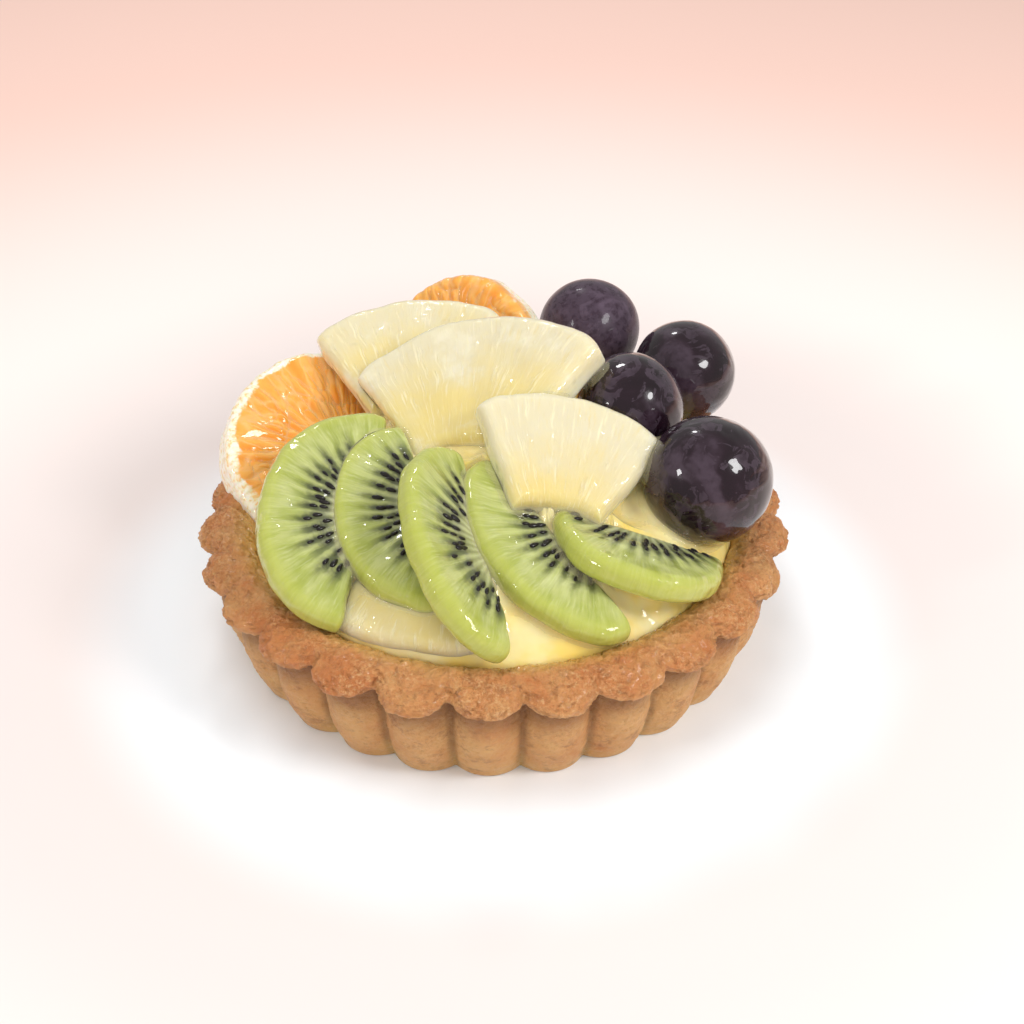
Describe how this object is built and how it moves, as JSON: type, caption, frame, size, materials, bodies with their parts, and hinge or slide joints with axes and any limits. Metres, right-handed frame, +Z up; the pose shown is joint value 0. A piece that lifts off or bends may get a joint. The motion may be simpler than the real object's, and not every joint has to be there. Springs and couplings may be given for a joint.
{
  "type": "fruit tart",
  "caption": "Round fluted shortcrust tart filled with a dome of custard and topped with glazed kiwi, pineapple and orange slices and dark grapes.",
  "frame": {"origin": "middle of the flat underside of the crust", "axes": "+Z up from the surface it rests on, -Y towards the front with the kiwi slices, +X to the right seen from the front"},
  "size_m": [0.1093, 0.1105, 0.0532],
  "materials": {
    "pastry": "baked shortcrust, matte and lightly rough",
    "custard": "set custard under a clear glaze, glossy",
    "kiwi": "moist green flesh with dark seeds under a clear glaze",
    "pineapple": "moist pale yellow flesh with radial fibres under a clear glaze",
    "orange": "juicy orange pulp with a pale membrane at its edge",
    "grape": "smooth dark skin with patchy bloom under a clear glaze"
  },
  "bodies": {
    "root": {"crust": "pastry", "custard": "custard", "pineapple_4": "pineapple", "orange_2": "orange", "orange_1": "orange", "pineapple_1": "pineapple", "kiwi_1": "kiwi", "kiwi_2": "kiwi", "kiwi_3": "kiwi", "kiwi_4": "kiwi", "kiwi_5": "kiwi", "pineapple_2": "pineapple", "pineapple_3": "pineapple", "grape_1": "grape", "grape_2": "grape", "grape_3": "grape", "grape_4": "grape"}
  },
  "joints": []
}
